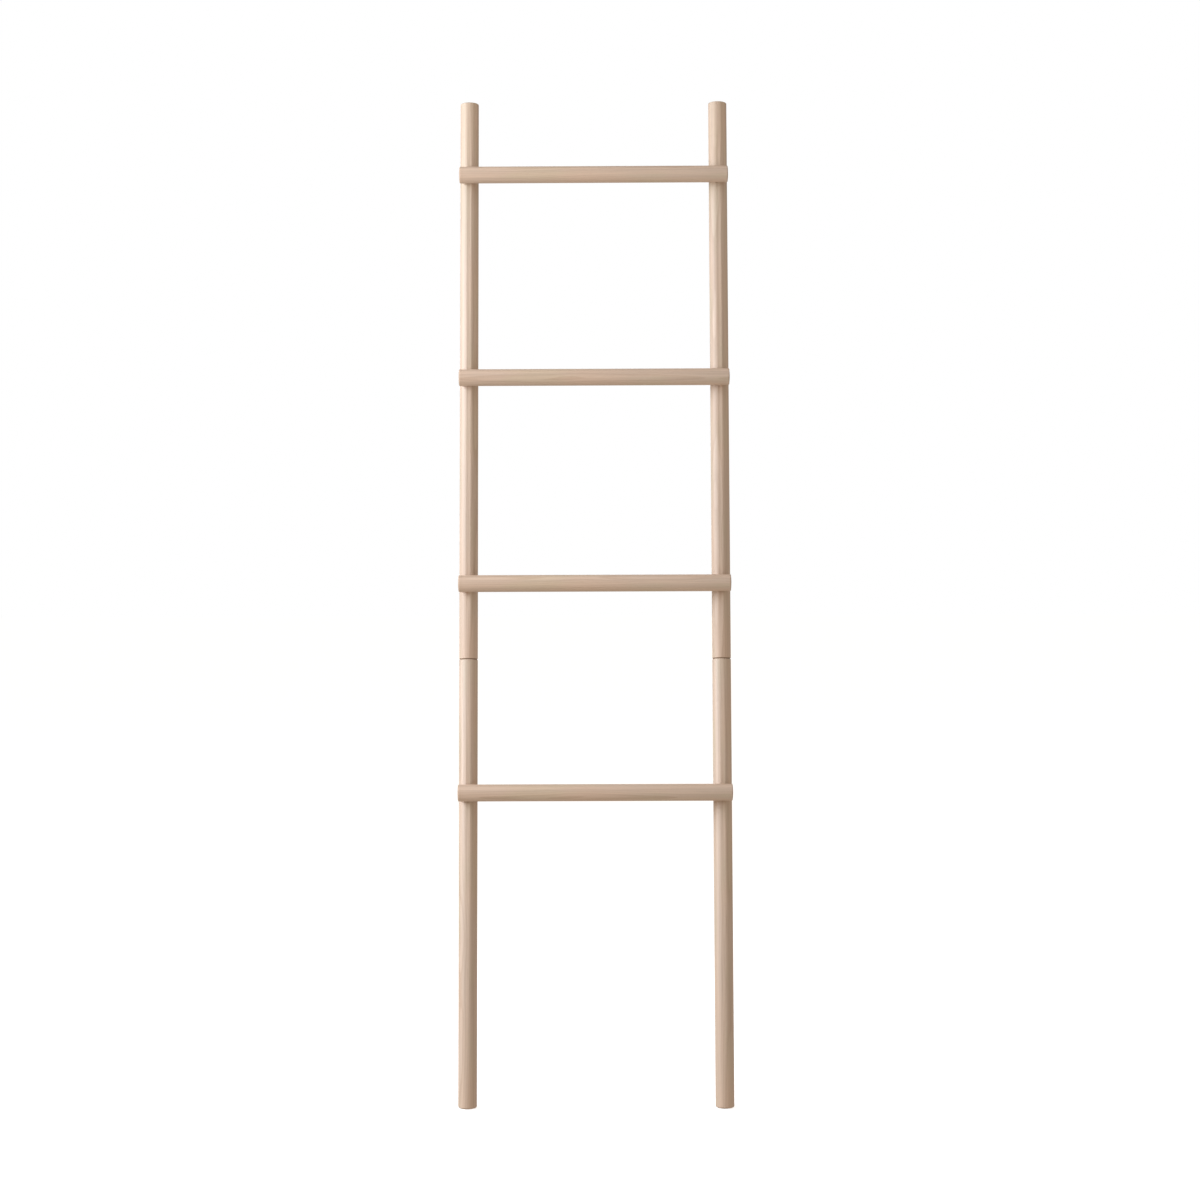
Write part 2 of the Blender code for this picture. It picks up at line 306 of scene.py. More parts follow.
# solid wood: rings about a pith line, fibres, pores and rays, all along the piece's Z
def woodGroup(look):
    tree = bpy.data.node_groups.new("solidWood", "ShaderNodeTree")
    face = tree.interface
    face.new_socket("Place", in_out="INPUT", socket_type="NodeSocketVector")
    face.new_socket("Pith", in_out="INPUT", socket_type="NodeSocketVector")
    face.new_socket("End", in_out="INPUT", socket_type="NodeSocketFloat")
    face.new_socket("Tone", in_out="INPUT", socket_type="NodeSocketFloat")
    face.new_socket("Colour", in_out="OUTPUT", socket_type="NodeSocketColor")
    face.new_socket("Roughness", in_out="OUTPUT", socket_type="NodeSocketFloat")
    face.new_socket("Height", in_out="OUTPUT", socket_type="NodeSocketFloat")
    given = addNode(tree, "NodeGroupInput")
    place, pith = given.outputs["Place"], given.outputs["Pith"]

    # slow drift of the growth rings along the piece makes the flames and eyes
    drift = addNode(
        tree, "ShaderNodeTexNoise",
        {"Vector": stretched(tree, place, look["driftScale"]), "Scale": 1.0, "Detail": 1.5},
    ).outputs["Color"]
    drift = vectorCalc(tree, "SUBTRACT", drift, (0.5, 0.5, 0.5))
    drift = vectorCalc(tree, "MULTIPLY", drift, look["driftReach"])
    moved = vectorCalc(tree, "ADD", place, drift)
    fromPith = vectorCalc(tree, "SUBTRACT", moved, pith)
    flat = vectorCalc(tree, "MULTIPLY", fromPith, (1.0, 1.0, 0.0))
    years = calc(tree, "DIVIDE", vectorCalc(tree, "LENGTH", flat), look["ringWidth"])
    years = calc(tree, "ADD", years, noise(tree, stretched(tree, place, look["waverScale"]), 2.0))
    year = calc(tree, "FRACT", years)
    rise = rampTo(tree, year, *look["lateRise"])
    fall = rampTo(tree, year, *look["lateFall"], 1.0, 0.0)
    late = calc(tree, "MULTIPLY", rise, fall)
    whichYear = calc(tree, "FLOOR", years)
    strength = addNode(tree, "ShaderNodeTexWhiteNoise", {"W": whichYear}, noise_dimensions="1D")
    strength = rampTo(tree, strength.outputs["Value"], 0.0, 1.0, look["faintestYear"], 1.0)
    late = calc(tree, "MULTIPLY", late, strength)

    fibre = noise(tree, stretched(tree, place, look["fibreScale"]), 3.0, 0.6)
    band = noise(tree, stretched(tree, place, look["bandScale"]), 2.0, 0.55)
    patch = noise(tree, stretched(tree, place, look["patchScale"], (7.0, 3.0, 1.0)), 2.0, 0.5)

    # pores: short dark dashes, a little denser where the year's growth is late
    dash = addNode(
        tree, "ShaderNodeTexVoronoi",
        {"Vector": stretched(tree, place, look["dashScale"]), "Scale": 1.0}, feature="F1",
    ).outputs["Distance"]
    pore = rampTo(tree, dash, *look["dashFade"], 1.0, 0.0)
    pore = calc(tree, "MULTIPLY", pore, rampTo(tree, year, 0.0, 1.0, *look["dashByYear"]))
    fleck = addNode(
        tree, "ShaderNodeTexVoronoi",
        {"Vector": stretched(tree, place, look["fleckScale"], (11.0, 5.0, 2.0)), "Scale": 1.0},
        feature="F1",
    ).outputs["Distance"]
    fleck = rampTo(tree, fleck, *look["fleckFade"], look["fleckDepth"], 0.0)

    ringShare = calc(tree, "MULTIPLY", late, look["ringContrast"])
    colour = mixColour(tree, ringShare, look["early"], look["late"])
    soft = calc(tree, "MULTIPLY", calc(tree, "SUBTRACT", fibre, 0.5), look["fibreContrast"] * 2)
    wide = calc(tree, "MULTIPLY", calc(tree, "SUBTRACT", band, 0.5), look["bandContrast"] * 2)
    slow = calc(tree, "MULTIPLY", calc(tree, "SUBTRACT", patch, 0.5), look["patchContrast"] * 2)
    value = calc(tree, "ADD", soft, wide)
    value = calc(tree, "ADD", value, calc(tree, "ADD", slow, given.outputs["Tone"]))
    colour = addNode(
        tree, "ShaderNodeHueSaturation", {"Color": colour, "Value": calc(tree, "ADD", value, 1.0)}
    ).outputs["Color"]
    warm = rampTo(tree, patch, *look["warmRange"], 0.0, look["warmShare"])
    colour = mixColour(tree, warm, colour, look["warmTint"], "MULTIPLY")
    drab = noise(tree, stretched(tree, place, look["drabScale"], (3.0, 8.0, 5.0)))
    drab = rampTo(tree, drab, *look["drabRange"])
    colour = mixColour(tree, drab, colour, look["drabTint"], "MULTIPLY")
    dark = calc(tree, "MULTIPLY", pore, look["poreShare"])
    colour = mixColour(tree, dark, colour, look["pore"])
    dark = calc(tree, "MULTIPLY", fleck, look["fleckShare"])
    colour = mixColour(tree, dark, colour, look["late"])
    ends = calc(tree, "MULTIPLY", given.outputs["End"], look["endShare"])
    colour = mixColour(tree, ends, colour, mixColour(tree, late, look["endGrain"], look["pore"]))

    height = calc(tree, "MULTIPLY", fibre, look["fibreHeight"])
    height = calc(tree, "SUBTRACT", height, calc(tree, "MULTIPLY", pore, look["poreHeight"]))
    height = calc(tree, "ADD", height, calc(tree, "MULTIPLY", late, look["lateHeight"]))
    rough = calc(tree, "MULTIPLY", fibre, look["fibreRoughness"])
    rough = calc(tree, "ADD", rough, look["roughness"] - look["fibreRoughness"] / 2)
    roughEnd = calc(tree, "MULTIPLY", given.outputs["End"], look["endRoughness"])
    rough = calc(tree, "ADD", rough, roughEnd, clamp=True)
    addNode(tree, "NodeGroupOutput", {"Colour": colour, "Roughness": rough, "Height": height})
    return tree


solidWood = woodGroup(woodLook)


# the rack's wood, laid along one piece, cut so far from the pith of its tree
def woodFor(name, place, pith, tone=0.0):
    material, tree, shader = newMaterial(name)
    here = addNode(tree, "ShaderNodeTexCoord")
    laid = addNode(
        tree, "ShaderNodeMapping",
        {
            "Vector": here.outputs["Object"],
            "Location": place.translation,
            "Rotation": place.to_euler(),
        },
        vector_type="TEXTURE",
    )
    along = place.to_3x3() @ Vector((0, 0, 1))
    facing = vectorCalc(tree, "DOT_PRODUCT", here.outputs["Normal"], along)
    end = rampTo(tree, calc(tree, "ABSOLUTE", facing), *woodLook["endFacing"])
    wood = addNode(tree, "ShaderNodeGroup", node_tree=solidWood)
    wood.inputs["Pith"].default_value = pith
    wood.inputs["Tone"].default_value = tone
    tree.links.new(laid.outputs["Vector"], wood.inputs["Place"])
    tree.links.new(end, wood.inputs["End"])
    bump = addNode(
        tree, "ShaderNodeBump",
        {
            "Height": wood.outputs["Height"],
            "Strength": woodLook["bumpStrength"],
            "Distance": woodLook["bumpDepth"],
        },
    )
    tree.links.new(wood.outputs["Colour"], shader.inputs["Base Color"])
    tree.links.new(wood.outputs["Roughness"], shader.inputs["Roughness"])
    tree.links.new(bump.outputs["Normal"], shader.inputs["Normal"])
    shader.inputs["Specular IOR Level"].default_value = woodLook["specular"]
    return material


railLook = {
    "segments": 96,
    "roundSteps": 6,
    "footHeight": 0.010,  # only this much of the rail slants to stand level
    "footRounding": 0.0032,
    "topRounding": 0.0016,
    "topDome": 0.0004,
    "domeBreak": (0.5, 0.3),  # shares of the radius and the dome at its middle ring
    "seamChamfer": 0.0010,
    "seamGap": 0.0008,
    "edgeRounding": 0.00035,
    "pith": {
        "lowerLeft": (0.052, 0.030, 0.0),
        "lowerRight": (-0.034, 0.046, 0.0),
        "upperLeft": (-0.047, 0.038, 0.0),
        "upperRight": (0.029, 0.055, 0.0),
    },
    "tone": {"lowerLeft": 0.0, "lowerRight": 0.01, "upperLeft": 0.02, "upperRight": -0.01},
}

padRadius = boxSize("foot_pad_left").x / 2
padThickness = boxSize("foot_pad_left").z
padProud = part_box("lower_rail_left")[0].z
dowelRadius = boxSize("splice_dowel_left").x / 2
dowelHalf = boxSize("splice_dowel_left").z - 2 * dowelRadius * math.sin(lean)
dowelHalf = dowelHalf / math.cos(lean) / 2
slip = 0.0003  # the gap that every fit is drawn with
cutterReach = 0.03  # long enough to run out of the wood


# foot at the bottom, cut level with the floor, with the pad's recess. Open bore at the seam
def lowerRailMesh(look):
    top = seamAt - look["seamGap"] / 2
    bore, recess = dowelRadius + slip, padRadius + slip
    chamfer, rounding = look["seamChamfer"], look["footRounding"]
    footing = padProud  # level here; the slant of the lean is added below
    rim = roundTo(
        (railRadius, footing + rounding), (railRadius - rounding, footing),
        (railRadius - rounding, footing + rounding), look["roundSteps"],
    )
    profile = [(0, top - dowelHalf - slip), (bore, top - dowelHalf - slip), (bore, top)]
    profile += [(railRadius - chamfer, top), (railRadius, top - chamfer)] + rim
    profile += [(recess, footing), (recess, padThickness + slip), (0, padThickness + slip)]
    mesh = turned("lowerRail", profile, look["segments"])
    for vertex in mesh.vertices:
        if vertex.co.z < look["footHeight"]:
            vertex.co.z += vertex.co.y * math.tan(lean)
    return mesh


# its zero is at the seam
def upperRailMesh(look):
    length, bottom = railTop - seamAt, look["seamGap"] / 2
    bore, chamfer, rounding = dowelRadius + slip, look["seamChamfer"], look["topRounding"]
    shoulder = length - look["topDome"]
    rim = roundTo(
        (railRadius - rounding, shoulder), (railRadius, shoulder - rounding),
        (railRadius - rounding, shoulder - rounding), look["roundSteps"],
    )
    inward, fall = look["domeBreak"]
    profile = [(0, length), (railRadius * inward, length - look["topDome"] * fall)] + rim
    profile += [(railRadius, bottom + chamfer), (railRadius - chamfer, bottom), (bore, bottom)]
    profile += [(bore, bottom + dowelHalf + slip), (0, bottom + dowelHalf + slip)]
    return turned("upperRail", profile, look["segments"])


def rod(radius, low, high, segments=48):
    return turned("rod", [(0, low), (radius, low), (radius, high), (0, high)], segments)


boltLook = {
    "segments": 40,
    "headRadius": 0.00675,
    "headHeight": 0.0030,
    "headRounding": 0.0007,
    "headSunk": 0.0050,
    "headRoom": 0.0006,  # round the head in its hole
    "underChamfer": 0.0003,
    "shankRadius": 0.0030,
    "keyWidth": 0.0040,
    "keyDepth": 0.0018,
    "keyRounding": 0.00012,
    "threadPitch": 0.0010,
    "threadDepth": 0.00035,
    "tipMargin": 0.0015,  # short of the insert's far end
    "tipTaper": 0.0008,
}
insertLook = {
    "segments": 40,
    "radius": 0.0050,
    "length": 0.0150,
    "setBack": 0.0015,
    "rimChamfer": 0.0004,
    "ridges": 6,
    "ridgeDepth": 0.0006,
    "ridgeSteps": (0.4, 0.2, 0.6),  # shares of the pitch: where it starts, its valley and its end
}
bumperLook = {
    "segments": 64,
    "roundSteps": 7,
    "seat": 0.0125,
    "rounding": 0.0022,
    "waist": 0.0006,
    "waistFrom": 0.0010,  # above the seat
    "waistTo": 0.0022,
    "faceBack": 0.00002,  # keeps the soft face just off the wall
    "stemRadius": 0.0025,
    "stemLength": 0.014,
    "barbs": 3,
    "barbPitch": 0.003,
    "barbDepth": 0.0004,
    "barbRise": 0.0008,
    "barbFall": 0.0002,
    "tipLength": 0.0008,
    "tipTaper": 0.0012,
    "holeSegments": 40,
}

facingBack = Matrix.Rotation(-math.pi / 2, 4, "X")  # turns Z to the back of the rack
facingWall = Matrix.Rotation(-math.pi / 2 + lean, 4, "X")  # turns Z square to the wall
bumperDrop = railTop - mounts["wall_left"]["pos_m"][2] / math.cos(lean)
bumperRadius = boxSize("wall_bumper_left").x / 2
wallFromBumper = mounts["wall_left"]["pos_m"][1] - (foot + upRail * (railTop - bumperDrop)).y
insertBack = -railRadius - slip - insertLook["setBack"]
insertFront = insertBack - insertLook["length"]


# a cutter with a wide mouth and a narrow bore below it
def steppedHole(name, wide, narrow, floor, end, segments):
    profile = [(0, cutterReach), (wide, cutterReach), (wide, floor)]
    profile += [(narrow, floor), (narrow, end), (0, end)]
    return turned(name, profile, segments)


def boltHole(look):
    wide, narrow = look["headRadius"] + look["headRoom"], look["shankRadius"] + slip
    floor = railRadius - look["headSunk"]
    return steppedHole("boltHole", wide, narrow, floor, -cutterReach, look["segments"])


def bumperHole(look):
    wide, narrow, floor = bumperRadius + slip, look["stemRadius"] + slip, look["seat"]
    end = floor - look["stemLength"] - slip
    return steppedHole("bumperHole", wide, narrow, floor, end, look["holeSegments"])


# every bolt hole between two heights, for a rail whose zero is at the start
def boltHoles(start, low, high):
    return [
        (boltHole(boltLook), Matrix.Translation((0, 0, station - start)) @ facingBack)
        for station in rungAt.values()
        if low < station < high
    ]


def makeRail(label, side, place, mesh, holes, body, look):
    mesh = cutAway(mesh, holes, look["edgeRounding"])
    key, title = label + side, label.capitalize() + side
    wood = woodFor("wood" + title, place, look["pith"][key], look["tone"][key])
    settle("rail" + title, mesh, place, wood, body, "pale_wood", f"{label}_rail_{side.lower()}")


def makeRails(look):
    for side, x in sides.items():
        holes = boltHoles(0, 0, seamAt)
        makeRail("lower", side, railPlace(x), lowerRailMesh(look), holes, lowerBody, look)

        holes = boltHoles(seamAt, seamAt, railTop)
        bumperSpot = Matrix.Translation((0, 0, railTop - seamAt - bumperDrop))
        holes.append((bumperHole(bumperLook), bumperSpot @ facingWall))
        makeRail("upper", side, railPlace(x, seamAt), upperRailMesh(look), holes, upperBody, look)
    print("rails made")


makeRails(railLook)

rungLook = {
    "segments": 96,
    "roundSteps": 7,
    "endRounding": 0.0018,
    "endDome": 0.0008,
    "domeRings": ((0.3, 0.12), (0.6, 0.5)),  # shares of the radius and of the dome
    "edgeRounding": 0.0003,
    "pith": {
        1: (0.020, -0.026, 0.0),
        2: (-0.024, -0.031, 0.0),
        3: (0.012, -0.036, 0.0),
        4: (-0.030, -0.022, 0.0),
    },
    "tone": {1: 0.0, 2: 0.015, 3: -0.01, 4: 0.0},
}


# the profile of one end, and the same again for the other
def bothEnds(end):
    return end + [(radius, -height) for radius, height in reversed(end)]


# a rod with softly domed ends
def rungMesh(look):
    half, dome, rounding = rungLength / 2, look["endDome"], look["endRounding"]
    shoulder = half - dome
    rim = roundTo(
        (rungRadius - rounding, shoulder), (rungRadius, shoulder - rounding),
        (rungRadius - rounding, shoulder - rounding), look["roundSteps"],
    )
    rings = [(rungRadius * inward, half - dome * fall) for inward, fall in look["domeRings"]]
    return turned("rung", bothEnds([(0, half)] + rings + rim), look["segments"])


def makeRungs(look):
    for number in range(1, rungCount + 1):
        place = rungPlace(number)
        cutters = []
        for x in sides.values():
            rail = place.inverted() @ railPlace(x, rungAt[number])
            saddle = rod(railRadius + slip, -cutterReach, cutterReach, look["segments"])
            cutters.append((saddle, rail))
            bore = rod(insertLook["radius"] + slip, insertFront - slip, 0.0)
            cutters.append((bore, rail @ facingBack))
        mesh = cutAway(rungMesh(look), cutters, look["edgeRounding"])
        wood = woodFor(f"woodRung{number}", place, look["pith"][number], look["tone"][number])
        body = sectionOf(rungAt[number])
        settle(f"rung{number}", mesh, place, wood, body, "pale_wood", f"rung_{number}")
    print("rungs made")


makeRungs(rungLook)

dowelLook = {
    "flutes": 20,
    "fluteDepth": 0.00035,
    "segmentsPerFlute": 8,
    "chamfer": 0.0016,
    "pith": (0.018, 0.012, 0.0),
    "tone": 0.02,
}


def geometryTree(name, floats):
    tree = bpy.data.node_groups.new(name, "GeometryNodeTree")
    tree.interface.new_socket("Geometry", in_out="INPUT", socket_type="NodeSocketGeometry")
    for label in floats:
        tree.interface.new_socket(label, in_out="INPUT", socket_type="NodeSocketFloat")
    tree.interface.new_socket("Material", in_out="INPUT", socket_type="NodeSocketMaterial")
    tree.interface.new_socket("Geometry", in_out="OUTPUT", socket_type="NodeSocketGeometry")
    return tree


# gives the object the tree, with each named input set by its socket's identifier
def treeModifier(obj, tree, values):
    modifier = obj.modifiers.new(tree.name, "NODES")
    modifier.node_group = tree
    for item in tree.interface.items_tree:
        if item.in_out == "INPUT" and item.name in values:
            modifier[item.identifier] = values[item.name]
    return modifier


def closeTree(tree, geometry, material):
    real = addNode(tree, "GeometryNodeRealizeInstances", {"Geometry": geometry})
    done = addNode(
        tree, "GeometryNodeSetMaterial", {"Geometry": real.outputs[0], "Material": material}
    )
    addNode(tree, "NodeGroupOutput", {"Geometry": done.outputs[0]})


# presses long shallow grooves into a turned peg, fading out at its chamfers
def fluteTree():
    tree = geometryTree("flutes", ("Flutes", "Depth", "Side Radius"))
    given = addNode(tree, "NodeGroupInput")
    spot = addNode(tree, "GeometryNodeInputPosition").outputs[0]
    parts = addNode(tree, "ShaderNodeSeparateXYZ", {0: spot})
    angle = calc(tree, "ARCTAN2", parts.outputs["Y"], parts.outputs["X"])
    wave = calc(tree, "COSINE", calc(tree, "MULTIPLY", angle, given.outputs["Flutes"]))
    halfDepth = calc(tree, "MULTIPLY", given.outputs["Depth"], 0.5)
    dip = calc(tree, "MULTIPLY", calc(tree, "SUBTRACT", wave, 1.0), halfDepth)
    level = vectorCalc(tree, "MULTIPLY", spot, (1.0, 1.0, 0.0))
    reach = vectorCalc(tree, "LENGTH", level)
    sideFrom = calc(tree, "MULTIPLY", given.outputs["Side Radius"], 0.985)
    onSide = calc(tree, "GREATER_THAN", reach, sideFrom)
    outward = vectorCalc(tree, "NORMALIZE", level)
    push = addNode(
        tree, "ShaderNodeVectorMath",
        {0: outward, "Scale": calc(tree, "MULTIPLY", dip, onSide)}, operation="SCALE",
    ).outputs[0]
    shaped = addNode(
        tree, "GeometryNodeSetPosition", {"Geometry": given.outputs["Geometry"], "Offset": push}
    )
    closeTree(tree, shaped.outputs[0], given.outputs["Material"])
    return tree


def makeDowels(look):
    tree = fluteTree()
    chamfer = look["chamfer"]
    end = [(0, dowelHalf), (dowelRadius - chamfer, dowelHalf)]
    end += [(dowelRadius, dowelHalf - chamfer), (dowelRadius, dowelHalf - 2 * chamfer)]
    profile, segments = bothEnds(end), look["flutes"] * look["segmentsPerFlute"]
    for side, x in sides.items():
        place = railPlace(x, seamAt)
        wood = woodFor("woodDowel" + side, place, look["pith"], look["tone"])
        blank = meshObject("dowelBlank", turned("dowel", profile, segments))
        values = {
            "Flutes": float(look["flutes"]),
            "Depth": look["fluteDepth"],
            "Side Radius": dowelRadius,
            "Material": wood,
        }
        treeModifier(blank, tree, values)
        mesh = plainMesh(blank, "dowel")
        node = "splice_dowel_" + side.lower()
        settle("spliceDowel" + side, mesh, place, wood, lowerBody, "pale_wood", node)
    print("dowels made")


makeDowels(dowelLook)


metalLook = {
    "cloudScale": (420.0, 420.0, 420.0),
    "markScale": (2600.0, 900.0, 2600.0),
    "markRoughness": 0.22,
    "bumpStrength": 0.25,
    "bumpDepth": 0.00004,
    "zincPlate": ((0.62, 0.62, 0.60, 1), (0.46, 0.46, 0.45, 1), 0.26),  # bright, dull, roughness
    "turnedBrass": ((0.72, 0.55, 0.28, 1), (0.55, 0.40, 0.19, 1), 0.28),
}


# turned metal: fine tool marks, cloudy plating and duller patches
def metalFor(name, look):
    bright, dull, roughness = look[name]
    material, tree, shader = newMaterial(name)
    here = addNode(tree, "ShaderNodeTexCoord").outputs["Object"]
    cloud = noise(tree, stretched(tree, here, look["cloudScale"]), 4.0, 0.6)
    marks = noise(tree, stretched(tree, here, look["markScale"]), 3.0, 0.6)
    shade = rampTo(tree, cloud, 0.35, 0.75)
    tree.links.new(mixColour(tree, shade, bright, dull), shader.inputs["Base Color"])
    rough = calc(tree, "ADD", calc(tree, "MULTIPLY", marks, look["markRoughness"]), roughness)
    tree.links.new(rough, shader.inputs["Roughness"])
    bump = addNode(
        tree, "ShaderNodeBump",
        {"Height": marks, "Strength": look["bumpStrength"], "Distance": look["bumpDepth"]},
    )
    tree.links.new(bump.outputs["Normal"], shader.inputs["Normal"])
    shader.inputs["Metallic"].default_value = 1.0
    return material


# button head with a hexagon socket, and a shank with a turned thread. Z points out of the back
def boltMesh(look):
    under = railRadius - look["headSunk"] + slip
    over, head, shank = under + look["headHeight"], look["headRadius"], look["shankRadius"]
    tip = insertFront + look["tipMargin"]
    rounding, chamfer, pitch = look["headRounding"], look["underChamfer"], look["threadPitch"]
    rim = roundTo(
        (head - rounding, over), (head, over - rounding), (head - rounding, over - rounding), 4
    )
    profile = [(0, over)] + rim + [(head, under + chamfer), (head - chamfer, under), (shank, under)]
    profile.append((shank, -railRadius))
    for turn in range(int((-railRadius - tip) / pitch) - 1):
        start = -railRadius - turn * pitch
        profile.append((shank - look["threadDepth"], start - pitch * 0.5))
        profile.append((shank, start - pitch))
    profile += [(shank - look["tipTaper"], tip), (0, tip)]
    mesh = turned("bolt", profile, look["segments"])

    key = bpy.data.meshes.new("key")
    bm = bmesh.new()
    corner = look["keyWidth"] / math.sqrt(3)
    bmesh.ops.create_cone(
        bm, cap_ends=True, segments=6, radius1=corner, radius2=corner, depth=look["keyDepth"] * 2
    )
    bm.to_mesh(key)
    bm.free()
    return cutAway(mesh, [(key, Matrix.Translation((0, 0, over)))], look["keyRounding"])


# a knock-in insert: a tube with ridges that grip the wood
def insertMesh(look):
    inner = boltLook["shankRadius"] + slip
    high, low = insertBack, insertFront
    pitch = look["length"] / (look["ridges"] + 1)
    radius, chamfer = look["radius"], look["rimChamfer"]
    first, valley, last = look["ridgeSteps"]
    profile = [(inner, low), (inner, high), (radius - chamfer, high), (radius, high - chamfer)]
    for ridge in range(look["ridges"]):
        start = high - pitch * (ridge + first)
        profile.append((radius, start))
        profile.append((radius - look["ridgeDepth"], start - pitch * valley))
        profile.append((radius, start - pitch * last))
    profile += [(radius, low), (inner, low)]
    return turned("insert", profile, look["segments"])


fastenerSeed = 5  # how each one happens to be turned


# sets one fastener on each point, each turned by its own chance amount about its axis
def fastenerTree():
    tree = geometryTree("fastenersOnPoints", ())
    tree.interface.new_socket("Fastener", in_out="INPUT", socket_type="NodeSocketObject")
    tree.interface.new_socket("Facing", in_out="INPUT", socket_type="NodeSocketVector")
    tree.interface.new_socket("Seed", in_out="INPUT", socket_type="NodeSocketInt")
    given = addNode(tree, "NodeGroupInput")
    fastener = addNode(tree, "GeometryNodeObjectInfo", {"Object": given.outputs["Fastener"]})
    chance = addNode(
        tree, "FunctionNodeRandomValue", {"Seed": given.outputs["Seed"]}, data_type="FLOAT"
    )
    chance.inputs[3].default_value = 2 * math.pi
    spin = addNode(tree, "ShaderNodeCombineXYZ", {"Z": chance.outputs[1]})
    aimed = addNode(tree, "FunctionNodeRotateEuler", rotation_type="EULER", space="LOCAL")
    tree.links.new(given.outputs["Facing"], aimed.inputs["Rotation"])
    tree.links.new(spin.outputs[0], aimed.inputs["Rotate By"])
    placed = addNode(
        tree, "GeometryNodeInstanceOnPoints",
        {
            "Points": given.outputs["Geometry"],
            "Instance": fastener.outputs["Geometry"],
            "Rotation": aimed.outputs["Rotation"],
        },
    )
    closeTree(tree, placed.outputs[0], given.outputs["Material"])
    return tree


# bolts and inserts at every crossing, one piece of each for each section
def makeFasteners():
    tree = fastenerTree()
    facing = (railPlace(0) @ facingBack).to_euler()
    kinds = (
        ("bolt", boltMesh(boltLook), "bolt_steel", metalFor("zincPlate", metalLook)),
        ("insert", insertMesh(insertLook), "insert_brass", metalFor("turnedBrass", metalLook)),
    )
    for label, mesh, slot, metal in kinds:
        pattern = meshObject(label + "Pattern", mesh)
        for body, tag in ((lowerBody, "Lower"), (upperBody, "Upper")):
            numbers = [n for n, station in rungAt.items() if sectionOf(station) == body]
            spots = [railPlace(x, rungAt[n]).translation for n in numbers for x in sides.values()]
            cloud = bpy.data.meshes.new("spots")
            cloud.from_pydata(spots, [], [])
            holder = meshObject("spots", cloud)
            values = {
                "Fastener": pattern,
                "Facing": facing,
                "Seed": fastenerSeed,
                "Material": metal,
            }
            treeModifier(holder, tree, values)
            made = plainMesh(holder, label + "s")
            nodes = [f"{label}_{n}_{side.lower()}" for n in numbers for side in sides]
            settle(f"{label}s{tag}", made, Matrix.Identity(4), metal, body, slot, *nodes)
        bpy.data.objects.remove(pattern)
    print("bolts and inserts made")


makeFasteners()


rubberLook = {
    "colour": (0.17, 0.165, 0.16, 1.0),
    "dustGain": 1.5,
    "dustLift": 0.03,
    "dustScale": (160.0, 160.0, 160.0),
    "skinScale": (1800.0, 1800.0, 1800.0),
    "roughness": 0.62,
    "dustRoughness": 0.2,
    "bumpStrength": 0.35,
    "bumpDepth": 0.00008,
}


# moulded rubber: fine pebbled skin, dusty in places
def rubberFor(name, look):
    material, tree, shader = newMaterial(name)
    here = addNode(tree, "ShaderNodeTexCoord").outputs["Object"]
    skin = noise(tree, stretched(tree, here, look["skinScale"]), 3.0, 0.55)
    dust = noise(tree, stretched(tree, here, look["dustScale"]), 4.0, 0.6)
    dusty = [min(1.0, c * look["dustGain"] + look["dustLift"]) for c in look["colour"][:3]]
    colour = mixColour(tree, rampTo(tree, dust, 0.4, 0.8), look["colour"], (*dusty, 1.0))
    tree.links.new(colour, shader.inputs["Base Color"])
    rough = calc(tree, "MULTIPLY", dust, look["dustRoughness"])
    rough = calc(tree, "ADD", rough, look["roughness"])
    tree.links.new(rough, shader.inputs["Roughness"])
    bump = addNode(
        tree, "ShaderNodeBump",
        {"Height": skin, "Strength": look["bumpStrength"], "Distance": look["bumpDepth"]},
    )
    tree.links.new(bump.outputs["Normal"], shader.inputs["Normal"])
    return material


padLook = {
    "segments": 64,
    "roundSteps": 5,
    "middleDepth": 0.0003,
    "middle": (0.28, 0.32),  # shares of the radius where the sole's hollow middle rises
    "ringDepth": 0.0004,
    "ring": (0.48, 0.52, 0.60, 0.64),  # and where its groove falls and rises
    "soleRounding": 0.0006,
    "topChamfer": 0.0003,
}


# a round pad with a soft rim, and a hollow middle and a groove in its sole
def padMesh(look):
    depth, chamfer, rounding = look["middleDepth"], look["topChamfer"], look["soleRounding"]
    inner, outer = (padRadius * share for share in look["middle"])
    profile = [(0, depth), (inner, depth), (outer, 0.0)]
    for share, height in zip(look["ring"], (0.0, look["ringDepth"], look["ringDepth"], 0.0)):
        profile.append((padRadius * share, height))
    profile += roundTo(
        (padRadius - rounding, 0.0), (padRadius, rounding), (padRadius - rounding, rounding),
        look["roundSteps"],
    )
    profile += [(padRadius, padThickness - chamfer), (padRadius - chamfer, padThickness)]
    return turned("footPad", profile + [(0, padThickness)], look["segments"])


# a push-in button with a soft-edged flat face, a slight waist and a barbed stem
def bumperMesh(look):
    seat, stem, rounding = look["seat"] + slip, look["stemRadius"], look["rounding"]
    end = seat - look["stemLength"]
    face = wallFromBumper - look["faceBack"]
    rim = roundTo(
        (bumperRadius - rounding, face), (bumperRadius, face - rounding),
        (bumperRadius - rounding, face - rounding), look["roundSteps"],
    )
    profile = [(0, face)] + rim + [(bumperRadius - look["waist"], seat + look["waistTo"])]
    profile += [(bumperRadius, seat + look["waistFrom"]), (bumperRadius, seat)]
    core = stem - look["barbDepth"]
    profile.append((core, seat))
    for barb in range(look["barbs"]):
        start = seat - look["barbPitch"] - barb * look["barbPitch"]
        profile += [(core, start + look["barbRise"]), (stem, start)]
        profile.append((core, start - look["barbFall"]))
    profile += [(core, end + look["tipLength"]), (stem - look["tipTaper"], end), (0, end)]
    return turned("wallBumper", profile, look["segments"])


